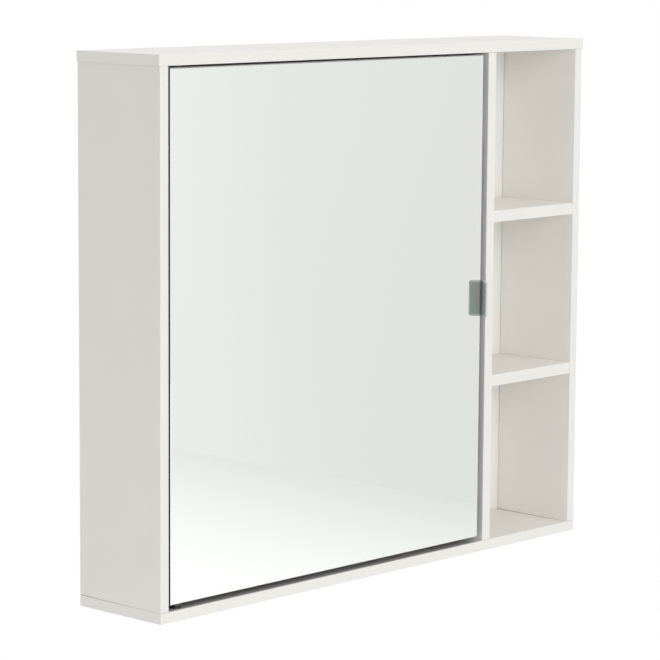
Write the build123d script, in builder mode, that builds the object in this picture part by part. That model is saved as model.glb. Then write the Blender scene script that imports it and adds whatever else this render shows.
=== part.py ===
from build123d import *
import math
import os

# Wall-hung bathroom mirror cabinet: a white box with a mirrored cupboard on the left
# and three open compartments on the right. Millimetres, +Z up, the front faces -Y.
# The origin lies on the wall, midway between the two screws that carry the cabinet.

# Outer size of the box
body_width = 697.0
height = 600.0
body_depth = 126.0
top_lap_side = 1.5
top_lap_front = 0.5

# Boards
board = 12.0
inner_board = 13.5
loose_shelf_board = 12.0
back_board = 3.0
edge_band = 0.8
band_round = 0.4
edge_ease = 0.3

# Back panel, let into grooves in front of the hollow for the hanging rail
back_inset = 12.0
groove_depth = 5.0
groove_front_play = 0.5
groove_rear_play = 0.1
groove_end_play = 0.2

# Hanging rail and its screw holes
rail_height = 60.0
wall_screw_spacing = 560.0
wall_screw_hole = 6.0

# Open bay
bay_width = 147.2
lower_shelf_height = 195.2
upper_shelf_height = 389.5
shelf_setback = 1.0

# Cupboard shelves
loose_shelf_depth = 79.0
loose_shelf_side_play = 1.0
loose_shelf_back_play = 1.0
pin_hole_pitch = 32.0
pin_hole_rows = 11
pin_hole_diameter = 5.0
pin_hole_depth = 8.5
pin_front_inset = 12.0
pin_back_inset = 24.0
lower_pin_row = 2
upper_pin_row = 8
pin_shank_play = 0.05
pin_shank_length = 8.0
pin_stud_radius = 2.9
pin_stud_length = 7.0
pin_end_chamfer = 0.4

# Door
gap_hinge_side = 2.0
gap_bay_side = 8.3
gap_top = 1.5
gap_bottom = 5.5
door_board_thickness = 12.0
glass = 3.0
glass_inset = 1.0
glass_bevel = 0.8
tape = 0.8
tape_width = 19.0
tape_side_inset = 45.0
tape_end_inset = 25.0
tape_strips = 4

# Door pivots
pivot_from_edge = 16.0
pivot_behind_face = 8.8
pivot_radius = 2.5
pivot_play = 0.05
seat_play = 0.02
pivot_end_chamfer = 0.5
bush_radius = 3.8
bush_flange_radius = 6.0
bush_in_panel = 9.0
bush_in_door = 12.0
lower_flange = 1.0
upper_flange = 0.5
collar_radius = 4.5
collar_play = 0.1
pin_in_panel = 8.5
pin_in_door = 10.0

# Finger tab of the door, a bent metal strip screwed to the back of the door
tab_height = 42.0
tab_sheet = 1.5
tab_off_glass = 2.9
tab_overhang = 6.0
tab_reach = 13.6
tab_foot = 18.0
tab_foot_radius = 2.6
tab_bend_radius = 9.0
tab_corner = 3.0
tab_screw_spacing = 24.0
tab_screw_inset = 8.0

# Magnetic catches on the divider, and their strike plates on the door
catch_from_end = 70.0
catch_play = 0.3
catch_base = 2.5
catch_base_height = 62.0
catch_body_reach = 24.0
catch_body_depth = 14.0
catch_body_height = 38.0
catch_round = 1.0
catch_screw_spacing = 50.0
magnet_width = 9.0
magnet_depth = 5.0
magnet_height = 28.0
magnet_from_tip = 4.0
strike_width = 12.0
strike_height = 34.0
strike_sheet = 1.2
strike_corner = 2.0

# Fixings
dowel_radius = 3.0
dowel_in_face = 8.5
dowel_in_end = 19.0
dowel_end_play = 0.4
dowel_chamfer = 0.6
dowel_front_inset = 21.0
dowel_back_inset = 13.0
rail_dowel_spacing = 32.0
screw_shank = 1.4
screw_length = 9.0
screw_point = 2.0
screw_head = 2.9
screw_head_height = 1.8
screw_shoulder = 2.6
screw_shoulder_height = 1.1
screw_crown = 1.6
screw_slot_width = 0.7
screw_slot_depth = 0.9
screw_slot_reach = 1.9
nail_shank = 0.8
nail_length = 16.0
nail_point = 1.5
nail_head_radius = 1.6
nail_head = 0.6
divider_nails = 4
divider_nail_inset = 48.0
nail_below_rail = 20.0
shelf_nail_inset = 35.0

# Planes and edges that follow from these sizes
front_y = -body_depth
top_front_y = front_y - top_lap_front
back_rear_y = -back_inset
back_front_y = back_rear_y - back_board
inner_top_z = rail_height / 2
top_z = inner_top_z + board
bottom_z = top_z - height
inner_bottom_z = bottom_z + board
side_x = body_width / 2
inner_x = side_x - board
divider_right_x = inner_x - bay_width
divider_left_x = divider_right_x - inner_board
divider_mid_x = (divider_left_x + divider_right_x) / 2

door_left_x = -inner_x + gap_hinge_side
door_right_x = divider_left_x - gap_bay_side
door_bottom_z = inner_bottom_z + gap_bottom
door_top_z = inner_top_z - gap_top
door_mid_z = (door_bottom_z + door_top_z) / 2
glass_back_y = front_y + glass
door_front_y = glass_back_y + tape
door_back_y = door_front_y + door_board_thickness
glass_left_x = door_left_x + glass_inset
glass_right_x = door_right_x - glass_inset
pivot_x = door_left_x + pivot_from_edge
pivot_y = front_y + pivot_behind_face

os.makedirs("parts", exist_ok=True)


def block(low, high, mode=Mode.ADD):
    """A box between two corners, added to the piece in hand."""
    size = [b - a for a, b in zip(low, high)]
    middle = [(a + b) / 2 for a, b in zip(low, high)]
    with Locations(tuple(middle)):
        Box(size[0], size[1], size[2], mode=mode)


def along_x(x, y, z, way=1):
    """A plane square to X whose normal points along +X, or -X for way -1."""
    return Plane(origin=(x, y, z), x_dir=(0, 1, 0), z_dir=(way, 0, 0))


def along_y(x, y, z, way=1):
    """A plane square to Y whose normal points along +Y, or -Y for way -1."""
    return Plane(origin=(x, y, z), x_dir=(1, 0, 0), z_dir=(0, way, 0))


def along_z(x, y, z, way=1):
    """A plane square to Z whose normal points along +Z, or -Z for way -1."""
    return Plane(origin=(x, y, z), x_dir=(1, 0, 0), z_dir=(0, 0, way))


def drill(planes, radius, depth):
    """Blind round holes that start on the given planes and go against their normals."""
    with Locations(*planes):
        Cylinder(radius, depth, align=(Align.CENTER, Align.CENTER, Align.MAX), mode=Mode.SUBTRACT)


def cut_groove():
    """The slot that holds the back panel, cut into whichever board is in hand."""
    reach = groove_depth
    block(
        (-inner_x - reach, back_front_y - groove_front_play, inner_bottom_z - reach),
        (inner_x + reach, back_rear_y + groove_rear_play, inner_top_z + reach),
        mode=Mode.SUBTRACT,
    )


def turned(points):
    """A solid turned about Z from its half profile, given as (radius, height) points."""
    with BuildPart() as made:
        with BuildSketch(Plane.XZ):
            with BuildLine():
                Polyline(*points, close=True)
            make_face()
        revolve(axis=Axis.Z)
    return made


def copies(one, planes):
    """The same piece set on every plane, its Z along the plane's normal."""
    with BuildPart() as many:
        with Locations(*planes):
            add(one.part)
    return many


def save(piece, name):
    """Label a finished piece and write its file."""
    piece.part.label = name
    export_step(piece.part, "parts/" + name + ".step")


# Where dowels join the uprights to the top and bottom boards
upright_mid_x = [-side_x + board / 2, divider_mid_x, side_x - board / 2]
dowel_first_y = front_y + dowel_front_inset
dowel_last_y = back_front_y - dowel_back_inset
dowel_ys = [dowel_first_y, (dowel_first_y + dowel_last_y) / 2, dowel_last_y]
upright_dowels = [(x, y) for x in upright_mid_x for y in dowel_ys]

# Where dowels join the fixed shelves to the divider and the right side
shelf_mid_zs = [
    bottom_z + lower_shelf_height + inner_board / 2,
    bottom_z + upper_shelf_height + inner_board / 2,
]
shelf_dowels_yz = [(y, z) for y in (dowel_first_y, dowel_last_y) for z in shelf_mid_zs]

# Where dowels join the hanging rail to the sides
rail_dowels_yz = [(back_rear_y / 2, z) for z in (-rail_dowel_spacing / 2, rail_dowel_spacing / 2)]

# Rows of holes for the shelf pins
pin_front_y = back_front_y - loose_shelf_back_play - loose_shelf_depth + pin_front_inset
pin_back_y = back_front_y - loose_shelf_back_play - pin_back_inset
pin_mid_z = (inner_bottom_z + inner_top_z) / 2
pin_first_z = pin_mid_z - pin_hole_pitch * (pin_hole_rows - 1) / 2
pin_row_zs = [pin_first_z + pin_hole_pitch * row for row in range(pin_hole_rows)]
pin_ys = [pin_front_y, pin_back_y]
pin_heights = [pin_row_zs[lower_pin_row], pin_row_zs[upper_pin_row]]

# Catches on the divider, with a strike plate on the door in front of each magnet
catch_zs = [inner_bottom_z + catch_from_end, inner_top_z - catch_from_end]
catch_front_y = door_back_y + strike_sheet + catch_play
catch_mid_y = catch_front_y + catch_body_depth / 2
catch_tip_x = divider_left_x - catch_body_reach
magnet_mid_x = catch_tip_x + magnet_from_tip + magnet_width / 2
catch_screw_planes = [
    along_x(divider_left_x - catch_base, catch_mid_y, z + way * catch_screw_spacing / 2, -1)
    for z in catch_zs
    for way in (-1, 1)
]
strike_screw_planes = [along_y(magnet_mid_x, door_back_y + strike_sheet, z) for z in catch_zs]

# Screws of the finger tab, in its foot behind the door
tab_foot_y = door_back_y + tab_sheet
tab_foot_left_x = door_right_x - tab_foot
tab_screw_planes = [
    along_y(tab_foot_left_x + tab_screw_inset, tab_foot_y, door_mid_z + way * tab_screw_spacing / 2)
    for way in (-1, 1)
]

# Nails through the back panel into the divider and the fixed shelves
nail_first_z = inner_bottom_z + divider_nail_inset
nail_last_z = -rail_height / 2 - nail_below_rail
nail_step = (nail_last_z - nail_first_z) / (divider_nails - 1)
nail_planes = [
    along_y(divider_mid_x, back_rear_y, nail_first_z + step * nail_step)
    for step in range(divider_nails)
]
nail_planes += [
    along_y(x, back_rear_y, z)
    for z in shelf_mid_zs
    for x in (divider_right_x + shelf_nail_inset, inner_x - shelf_nail_inset)
]
nail_hole = nail_shank + seat_play
pilot_hole = screw_shank + seat_play

# Top board, with a hole for the upper pivot bush
top_x = side_x + top_lap_side
with BuildPart() as top_panel:
    block(
        (-top_x + edge_band, top_front_y + edge_band, inner_top_z),
        (top_x - edge_band, 0, top_z),
    )
    cut_groove()
    drill([along_z(x, y, inner_top_z, -1) for x, y in upright_dowels], dowel_radius, dowel_in_face)
    drill([along_z(pivot_x, pivot_y, inner_top_z, -1)], bush_radius, bush_in_panel)
save(top_panel, "top_panel")

# Bottom board, with a hole for the lower pivot bush
with BuildPart() as bottom_panel:
    block(
        (-side_x + edge_band, front_y + edge_band, bottom_z),
        (side_x - edge_band, 0, inner_bottom_z),
    )
    cut_groove()
    drill([along_z(x, y, inner_bottom_z) for x, y in upright_dowels], dowel_radius, dowel_in_face)
    drill([along_z(pivot_x, pivot_y, inner_bottom_z)], bush_radius, bush_in_panel)
save(bottom_panel, "bottom_panel")


def drill_upright_ends(mid_x):
    """Dowel holes in the two ends of an upright."""
    ys = [y for x, y in upright_dowels if x == mid_x]
    drill([along_z(mid_x, y, inner_top_z) for y in ys], dowel_radius, dowel_in_end)
    drill([along_z(mid_x, y, inner_bottom_z, -1) for y in ys], dowel_radius, dowel_in_end)


def ease_ends(outer_face):
    """Ease the two edges where a side's outer face meets the top and bottom boards."""
    chamfer(outer_face.edges().filter_by(Axis.Y), edge_ease)


# Left side, drilled for the loose shelves
with BuildPart() as left_side_panel:
    block((-side_x, front_y + edge_band, inner_bottom_z), (-inner_x, 0, inner_top_z))
    ease_ends(left_side_panel.faces().sort_by(Axis.X)[0])
    cut_groove()
    drill_upright_ends(upright_mid_x[0])
    drill([along_x(-inner_x, y, z) for y, z in rail_dowels_yz], dowel_radius, dowel_in_face)
    pin_holes = [along_x(-inner_x, y, z) for y in pin_ys for z in pin_row_zs]
    drill(pin_holes, pin_hole_diameter / 2, pin_hole_depth)
save(left_side_panel, "left_side_panel")

# Right side, drilled for the fixed shelves
with BuildPart() as right_side_panel:
    block((inner_x, front_y + edge_band, inner_bottom_z), (side_x, 0, inner_top_z))
    ease_ends(right_side_panel.faces().sort_by(Axis.X)[-1])
    cut_groove()
    drill_upright_ends(upright_mid_x[2])
    drill([along_x(inner_x, y, z, -1) for y, z in rail_dowels_yz], dowel_radius, dowel_in_face)
    drill([along_x(inner_x, y, z, -1) for y, z in shelf_dowels_yz], dowel_radius, dowel_in_face)
save(right_side_panel, "right_side_panel")

# Divider between the cupboard and the open bay
with BuildPart() as divider_panel:
    block(
        (divider_left_x, front_y + edge_band, inner_bottom_z),
        (divider_right_x, back_front_y, inner_top_z),
    )
    drill_upright_ends(upright_mid_x[1])
    drill([along_x(divider_right_x, y, z) for y, z in shelf_dowels_yz], dowel_radius, dowel_in_face)
    divider_pin_holes = [along_x(divider_left_x, y, z, -1) for y in pin_ys for z in pin_row_zs]
    drill(divider_pin_holes, pin_hole_diameter / 2, pin_hole_depth)
    drill(catch_screw_planes, pilot_hole, screw_length)
    drill(nail_planes, nail_hole, nail_length)
save(divider_panel, "divider_panel")

# Back panel, with room for the two wall screws
wall_screw_xs = [-wall_screw_spacing / 2, wall_screw_spacing / 2]
back_reach = groove_depth - groove_end_play
with BuildPart() as back_panel:
    block(
        (-inner_x - back_reach, back_front_y, inner_bottom_z - back_reach),
        (inner_x + back_reach, back_rear_y, inner_top_z + back_reach),
    )
    drill([along_y(x, back_rear_y, 0) for x in wall_screw_xs], wall_screw_hole / 2, back_board)
    drill(nail_planes, nail_hole, nail_length)
save(back_panel, "back_panel")

# Hanging rail behind the back panel, which the wall screws go through
with BuildPart() as hanging_rail:
    block((-inner_x, back_rear_y, -rail_height / 2), (inner_x, 0, rail_height / 2))
    drill([along_y(x, 0, 0) for x in wall_screw_xs], wall_screw_hole / 2, back_inset)
    drill([along_x(-inner_x, y, z, -1) for y, z in rail_dowels_yz], dowel_radius, dowel_in_end)
    drill([along_x(inner_x, y, z) for y, z in rail_dowels_yz], dowel_radius, dowel_in_end)
save(hanging_rail, "hanging_rail")


def open_shelf(mid_z):
    """A fixed shelf of the open bay."""
    low_z = mid_z - inner_board / 2
    dowel_points = [(y, z) for y, z in shelf_dowels_yz if z == mid_z]
    with BuildPart() as shelf:
        block(
            (divider_right_x, front_y + shelf_setback + edge_band, low_z),
            (inner_x, back_front_y, low_z + inner_board),
        )
        ends = [along_x(inner_x, y, z) for y, z in dowel_points]
        ends += [along_x(divider_right_x, y, z, -1) for y, z in dowel_points]
        drill(ends, dowel_radius, dowel_in_end)
        drill(nail_planes, nail_hole, nail_length)
    return shelf


lower_open_shelf = open_shelf(shelf_mid_zs[0])
save(lower_open_shelf, "lower_open_shelf")
upper_open_shelf = open_shelf(shelf_mid_zs[1])
save(upper_open_shelf, "upper_open_shelf")

# Loose shelves of the cupboard, which rest on the studs of the pins
loose_back_y = back_front_y - loose_shelf_back_play
loose_front_y = loose_back_y - loose_shelf_depth
loose_left_x = -inner_x + loose_shelf_side_play
loose_right_x = divider_left_x - loose_shelf_side_play
loose_shelf_zs = [z + pin_stud_radius for z in pin_heights]


def loose_shelf(low_z):
    """A shelf board behind its front band."""
    with BuildPart() as shelf:
        block(
            (loose_left_x, loose_front_y + edge_band, low_z),
            (loose_right_x, loose_back_y, low_z + loose_shelf_board),
        )
    return shelf


lower_inner_shelf = loose_shelf(loose_shelf_zs[0])
save(lower_inner_shelf, "lower_inner_shelf")
upper_inner_shelf = loose_shelf(loose_shelf_zs[1])
save(upper_inner_shelf, "upper_inner_shelf")

# Shelf pins: a shank in the board and a thicker stud under the shelf
pin_planes = [along_x(-inner_x, y, z) for y in pin_ys for z in pin_heights]
pin_planes += [along_x(divider_left_x, y, z, -1) for y in pin_ys for z in pin_heights]
pin_shank = pin_hole_diameter / 2 - pin_shank_play
one_pin = turned([
    (0, -pin_shank_length),
    (pin_shank - pin_end_chamfer, -pin_shank_length),
    (pin_shank, pin_end_chamfer - pin_shank_length),
    (pin_shank, 0),
    (pin_stud_radius, 0),
    (pin_stud_radius, pin_stud_length - pin_end_chamfer),
    (pin_stud_radius - pin_end_chamfer, pin_stud_length),
    (0, pin_stud_length),
])
shelf_pins = copies(one_pin, pin_planes)
save(shelf_pins, "shelf_pins")

# Glued dowels, each half in a board's face and half in the other board's end
dowel = dowel_radius - seat_play
one_dowel = turned([
    (0, dowel_end_play - dowel_in_face),
    (dowel - dowel_chamfer, dowel_end_play - dowel_in_face),
    (dowel, dowel_end_play - dowel_in_face + dowel_chamfer),
    (dowel, dowel_in_end - dowel_end_play - dowel_chamfer),
    (dowel - dowel_chamfer, dowel_in_end - dowel_end_play),
    (0, dowel_in_end - dowel_end_play),
])
board_dowel_planes = [along_z(x, y, inner_top_z, -1) for x, y in upright_dowels]
board_dowel_planes += [along_z(x, y, inner_bottom_z) for x, y in upright_dowels]
board_dowel_planes += [along_x(-inner_x, y, z) for y, z in rail_dowels_yz]
board_dowel_planes += [along_x(inner_x, y, z, -1) for y, z in rail_dowels_yz]
board_dowels = copies(one_dowel, board_dowel_planes)
save(board_dowels, "board_dowels")

shelf_dowel_planes = [along_x(divider_right_x, y, z) for y, z in shelf_dowels_yz]
shelf_dowel_planes += [along_x(inner_x, y, z, -1) for y, z in shelf_dowels_yz]
shelf_dowels = copies(one_dowel, shelf_dowel_planes)
save(shelf_dowels, "shelf_dowels")

# Nails of the back panel
one_nail = turned([
    (0, nail_head),
    (nail_head_radius, nail_head),
    (nail_head_radius, 0),
    (nail_shank, 0),
    (nail_shank, nail_point - nail_length),
    (0, -nail_length),
])
back_nails = copies(one_nail, nail_planes)
save(back_nails, "back_nails")


def front_band(low, high):
    """An edge band on a board's front, with the edges of its outer face rounded."""
    with BuildPart() as band:
        block(low, high)
        fillet(band.faces().sort_by(Axis.Y)[0].edges(), band_round)
    return band


def end_band(inner, outer, front, low_z, high_z):
    """An edge band on the end of the top or bottom board, with its long outer edges rounded."""
    with BuildPart() as band:
        block((min(inner, outer), front, low_z), (max(inner, outer), 0, high_z))
        outer_face = band.faces().sort_by(Axis.X)[-1 if outer > inner else 0]
        fillet(outer_face.edges().filter_by(Axis.Y), band_round)
    return band


def bands_together(bands):
    """Separate bands as one piece."""
    with BuildPart() as together:
        for band in bands:
            add(band.part)
    return together


# Bands on the front edges of the carcass boards
top_band = front_band((-top_x, top_front_y, inner_top_z), (top_x, top_front_y + edge_band, top_z))
bottom_band = front_band((-side_x, front_y, bottom_z), (side_x, front_y + edge_band, inner_bottom_z))
upright_spans = [(-side_x, -inner_x), (divider_left_x, divider_right_x), (inner_x, side_x)]
upright_bands = [
    front_band(
        (a, front_y, inner_bottom_z + seat_play),
        (b, front_y + edge_band, inner_top_z - seat_play),
    )
    for a, b in upright_spans
]
board_edge_bands = bands_together([top_band, bottom_band] + upright_bands)
save(board_edge_bands, "board_edge_bands")

# Bands on the ends of the top and bottom boards, behind their front bands
top_end_front = top_front_y + edge_band + seat_play
bottom_end_front = front_y + edge_band + seat_play
end_bands = []
for way in (-1, 1):
    top_outer = way * top_x
    bottom_outer = way * side_x
    inward = -way * edge_band
    end_bands.append(end_band(top_outer + inward, top_outer, top_end_front, inner_top_z, top_z))
    end_bands.append(
        end_band(bottom_outer + inward, bottom_outer, bottom_end_front, bottom_z, inner_bottom_z)
    )
board_end_bands = bands_together(end_bands)
save(board_end_bands, "board_end_bands")

# Bands on the front edges of the fixed shelves
shelf_front_y = front_y + shelf_setback
open_shelf_bands = bands_together([
    front_band(
        (divider_right_x, shelf_front_y, z - inner_board / 2),
        (inner_x, shelf_front_y + edge_band, z + inner_board / 2),
    )
    for z in shelf_mid_zs
])
save(open_shelf_bands, "open_shelf_bands")

# Bands on the front edges of the loose shelves
inner_shelf_bands = bands_together([
    front_band(
        (loose_left_x, loose_front_y, z),
        (loose_right_x, loose_front_y + edge_band, z + loose_shelf_board),
    )
    for z in loose_shelf_zs
])
save(inner_shelf_bands, "inner_shelf_bands")

# Door board, behind the glass, drilled in its two ends for the pivot bushes
door_low = (door_left_x, door_front_y, door_bottom_z)
door_high = (door_right_x, door_back_y, door_top_z)
core_low = (door_left_x + edge_band, door_front_y, door_bottom_z + edge_band)
core_high = (door_right_x - edge_band, door_back_y, door_top_z - edge_band)
door_bush_planes = [
    along_z(pivot_x, pivot_y, door_top_z),
    along_z(pivot_x, pivot_y, door_bottom_z, -1),
]
with BuildPart() as door_board:
    block(core_low, core_high)
    drill(door_bush_planes, bush_radius, bush_in_door)
    drill(tab_screw_planes, pilot_hole, screw_length)
    drill(strike_screw_planes, pilot_hole, screw_length)
save(door_board, "door_board")

# Bands on the four edges of the door board, the upright ones over its full height
with BuildPart() as door_edge_bands:
    block(door_low, (core_low[0], door_back_y, door_top_z))
    block((core_high[0], door_front_y, door_bottom_z), door_high)
    for low_z, high_z in [(door_bottom_z, core_low[2]), (core_high[2], door_top_z)]:
        block(
            (core_low[0] + seat_play, door_front_y, low_z),
            (core_high[0] - seat_play, door_back_y, high_z),
        )
    drill(door_bush_planes, bush_radius, bush_in_door)
save(door_edge_bands, "door_edge_bands")

# Mirror glass, with a narrow polished bevel round its front
with BuildPart() as mirror_glass:
    block(
        (glass_left_x, front_y, door_bottom_z + glass_inset),
        (glass_right_x, glass_back_y, door_top_z - glass_inset),
    )
    chamfer(mirror_glass.faces().sort_by(Axis.Y)[0].edges(), glass_bevel)
save(mirror_glass, "mirror_glass")

# Upright strips of foam tape between the glass and the door board
tape_first_x = glass_left_x + tape_side_inset
tape_step = (glass_right_x - glass_left_x - 2 * tape_side_inset) / (tape_strips - 1)
with BuildPart() as mirror_tape:
    for strip in range(tape_strips):
        strip_x = tape_first_x + strip * tape_step
        block(
            (strip_x - tape_width / 2, glass_back_y, door_bottom_z + tape_end_inset),
            (strip_x + tape_width / 2, door_front_y, door_top_z - tape_end_inset),
        )
save(mirror_tape, "mirror_tape")


def flanged_bush(bore, flange, depth):
    """A bush that hangs down a hole from its flange, which lies on the surface above."""
    return turned([
        (bore, flange),
        (bush_flange_radius, flange),
        (bush_flange_radius, 0),
        (bush_radius - seat_play, 0),
        (bush_radius - seat_play, -depth),
        (bore, -depth),
    ])


# Bushes that hold the pivot pins in the boards, and those that the door turns on
panel_bore = pivot_radius + seat_play
door_bore = pivot_radius + pivot_play
lower_panel_bush = flanged_bush(panel_bore, lower_flange, bush_in_panel)
upper_panel_bush = flanged_bush(panel_bore, upper_flange, bush_in_panel)
lower_door_bush = flanged_bush(door_bore, lower_flange, bush_in_door)
upper_door_bush = flanged_bush(door_bore, upper_flange, bush_in_door)
with BuildPart() as panel_bushes:
    with Locations(along_z(pivot_x, pivot_y, inner_bottom_z)):
        add(lower_panel_bush.part)
    with Locations(along_z(pivot_x, pivot_y, inner_top_z, -1)):
        add(upper_panel_bush.part)
save(panel_bushes, "panel_bushes")
with BuildPart() as door_bushes:
    with Locations(door_bush_planes[0]):
        add(upper_door_bush.part)
    with Locations(door_bush_planes[1]):
        add(lower_door_bush.part)
save(door_bushes, "door_bushes")

# Lower pivot pin, whose collar carries the door
lower_pin_bottom_z = inner_bottom_z - pin_in_panel
collar_bottom_z = inner_bottom_z + lower_flange
collar_top_z = door_bottom_z - lower_flange - collar_play
lower_pin_top_z = door_bottom_z + pin_in_door
chamfered = pivot_radius - pivot_end_chamfer
lower_pin_shape = turned([
    (0, lower_pin_bottom_z),
    (chamfered, lower_pin_bottom_z),
    (pivot_radius, lower_pin_bottom_z + pivot_end_chamfer),
    (pivot_radius, collar_bottom_z),
    (collar_radius, collar_bottom_z),
    (collar_radius, collar_top_z),
    (pivot_radius, collar_top_z),
    (pivot_radius, lower_pin_top_z - pivot_end_chamfer),
    (chamfered, lower_pin_top_z),
    (0, lower_pin_top_z),
])
lower_pivot_pin = copies(lower_pin_shape, [along_z(pivot_x, pivot_y, 0)])
save(lower_pivot_pin, "lower_pivot_pin")

# Upper pivot pin, a plain pin pressed into the top board's bush
upper_pin_bottom_z = door_top_z - pin_in_door
upper_pin_top_z = inner_top_z + pin_in_panel
upper_pin_shape = turned([
    (0, upper_pin_bottom_z),
    (chamfered, upper_pin_bottom_z),
    (pivot_radius, upper_pin_bottom_z + pivot_end_chamfer),
    (pivot_radius, upper_pin_top_z - pivot_end_chamfer),
    (chamfered, upper_pin_top_z),
    (0, upper_pin_top_z),
])
upper_pivot_pin = copies(upper_pin_shape, [along_z(pivot_x, pivot_y, 0)])
save(upper_pivot_pin, "upper_pivot_pin")

# Finger tab: its foot lies on the back of the door, it passes the door's edge in the
# gap and leans over the mirror
tab_mid_x = glass_right_x + tab_off_glass + tab_sheet / 2
tab_tip_x = glass_right_x - tab_overhang + tab_sheet / 2
tab_tip_y = front_y - tab_reach
tab_low_z = door_mid_z - tab_height / 2
with BuildPart() as door_handle:
    with BuildSketch(Plane.XY.offset(tab_low_z)):
        with BuildLine():
            FilletPolyline(
                (tab_foot_left_x, door_back_y + tab_sheet / 2),
                (tab_mid_x, door_back_y + tab_sheet / 2),
                (tab_mid_x, front_y),
                (tab_tip_x, tab_tip_y),
                radius=[tab_foot_radius, tab_bend_radius],
            )
        trace(line_width=tab_sheet)
    extrude(amount=tab_height)
    tip_face = door_handle.faces().sort_by(Axis.Y)[0]
    fillet(tip_face.edges().filter_by(Axis.Z, reverse=True), tab_corner)
    drill(tab_screw_planes, pilot_hole, tab_sheet)
save(door_handle, "door_handle")

# Cross-slot screws: round heads for the tab and the catches
screw_shape = [
    (0, screw_head_height),
    (screw_crown, screw_head_height),
    (screw_shoulder, screw_shoulder_height),
    (screw_head, 0),
    (screw_shank, 0),
    (screw_shank, screw_point - screw_length),
    (0, -screw_length),
]


def cross_slot(top):
    """The cross cut into the top of a screw head."""
    arm = screw_slot_reach
    half = screw_slot_width / 2
    block((-arm, -half, top - screw_slot_depth), (arm, half, top), mode=Mode.SUBTRACT)
    block((-half, -arm, top - screw_slot_depth), (half, arm, top), mode=Mode.SUBTRACT)


with BuildPart() as one_screw:
    add(turned(screw_shape).part)
    cross_slot(screw_head_height)
handle_screws = copies(one_screw, tab_screw_planes)
save(handle_screws, "handle_screws")
catch_screws = copies(one_screw, catch_screw_planes)
save(catch_screws, "catch_screws")

# Catch housings: a base on the divider and a block with a pocket for the magnet
with BuildPart() as catch_housings:
    for z in catch_zs:
        block(
            (divider_left_x - catch_base, catch_front_y, z - catch_base_height / 2),
            (divider_left_x, catch_front_y + catch_body_depth, z + catch_base_height / 2),
        )
        block(
            (catch_tip_x, catch_front_y, z - catch_body_height / 2),
            (divider_left_x, catch_front_y + catch_body_depth, z + catch_body_height / 2),
        )
        block(
            (magnet_mid_x - magnet_width / 2, catch_front_y, z - magnet_height / 2),
            (magnet_mid_x + magnet_width / 2, catch_front_y + magnet_depth, z + magnet_height / 2),
            mode=Mode.SUBTRACT,
        )
    fillet(catch_housings.edges().filter_by(Axis.Y).group_by(Axis.X)[0], catch_round)
    drill(catch_screw_planes, pilot_hole, catch_base)
save(catch_housings, "catch_housings")

# Magnets, flush with the front of their housings
with BuildPart() as catch_magnets:
    for z in catch_zs:
        block(
            (magnet_mid_x - magnet_width / 2, catch_front_y, z - magnet_height / 2),
            (magnet_mid_x + magnet_width / 2, catch_front_y + magnet_depth, z + magnet_height / 2),
        )
save(catch_magnets, "catch_magnets")

# Steel strike plates on the back of the door, countersunk through their whole thickness
sink_angle = 2 * math.degrees(math.atan2(screw_head - screw_shank, strike_sheet))
with BuildPart() as strike_plates:
    for z in catch_zs:
        block(
            (magnet_mid_x - strike_width / 2, door_back_y, z - strike_height / 2),
            (magnet_mid_x + strike_width / 2, door_back_y + strike_sheet, z + strike_height / 2),
        )
    fillet(strike_plates.edges().filter_by(Axis.Y), strike_corner)
    with Locations(*strike_screw_planes):
        CounterSinkHole(pilot_hole, screw_head + seat_play, strike_sheet, sink_angle)
save(strike_plates, "strike_plates")

# Countersunk screws of the strike plates, flush with the steel
with BuildPart() as one_flush_screw:
    add(turned([
        (0, 0),
        (screw_head, 0),
        (screw_shank, -strike_sheet),
        (screw_shank, screw_point - screw_length),
        (0, -screw_length),
    ]).part)
    cross_slot(0)
strike_screws = copies(one_flush_screw, strike_screw_planes)
save(strike_screws, "strike_screws")
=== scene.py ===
# %% [markdown]
# A bathroom mirror cabinet
#
# The cabinet is a shallow white box for a bathroom wall. A mirrored door closes its left
# side and three open compartments stand on its right. Its construction is already done:
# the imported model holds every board, dowel, pin and screw at its real size. This lesson
# gives each of them its finish, adds the details that are too fine for the construction,
# and sets up the light and the camera. Everything is in metres, with Z up, the wall at
# Y = 0 and the front of the cabinet towards -Y.

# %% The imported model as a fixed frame
import math

import bmesh
import bpy
from mathutils import Matrix, Vector


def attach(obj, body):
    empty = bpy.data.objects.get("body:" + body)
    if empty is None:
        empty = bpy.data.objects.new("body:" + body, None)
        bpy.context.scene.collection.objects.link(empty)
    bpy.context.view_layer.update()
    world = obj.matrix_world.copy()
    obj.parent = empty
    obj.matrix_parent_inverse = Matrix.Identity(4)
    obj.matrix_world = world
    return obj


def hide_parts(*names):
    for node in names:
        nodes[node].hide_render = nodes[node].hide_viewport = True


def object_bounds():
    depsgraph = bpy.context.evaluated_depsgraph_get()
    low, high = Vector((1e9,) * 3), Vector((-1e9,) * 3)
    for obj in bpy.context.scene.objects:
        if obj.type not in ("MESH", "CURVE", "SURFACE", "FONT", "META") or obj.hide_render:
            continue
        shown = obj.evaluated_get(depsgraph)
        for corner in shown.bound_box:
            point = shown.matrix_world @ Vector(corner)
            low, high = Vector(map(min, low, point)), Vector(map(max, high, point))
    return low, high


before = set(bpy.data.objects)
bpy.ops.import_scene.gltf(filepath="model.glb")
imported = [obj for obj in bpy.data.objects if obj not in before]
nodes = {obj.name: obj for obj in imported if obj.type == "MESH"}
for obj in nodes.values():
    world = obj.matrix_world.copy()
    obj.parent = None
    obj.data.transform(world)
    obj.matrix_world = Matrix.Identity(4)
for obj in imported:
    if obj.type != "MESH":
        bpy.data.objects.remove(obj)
cad_low, cad_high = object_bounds()
MM = 0.001
print("box in mm:", [round(v / MM, 1) for v in cad_high - cad_low])

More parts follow.
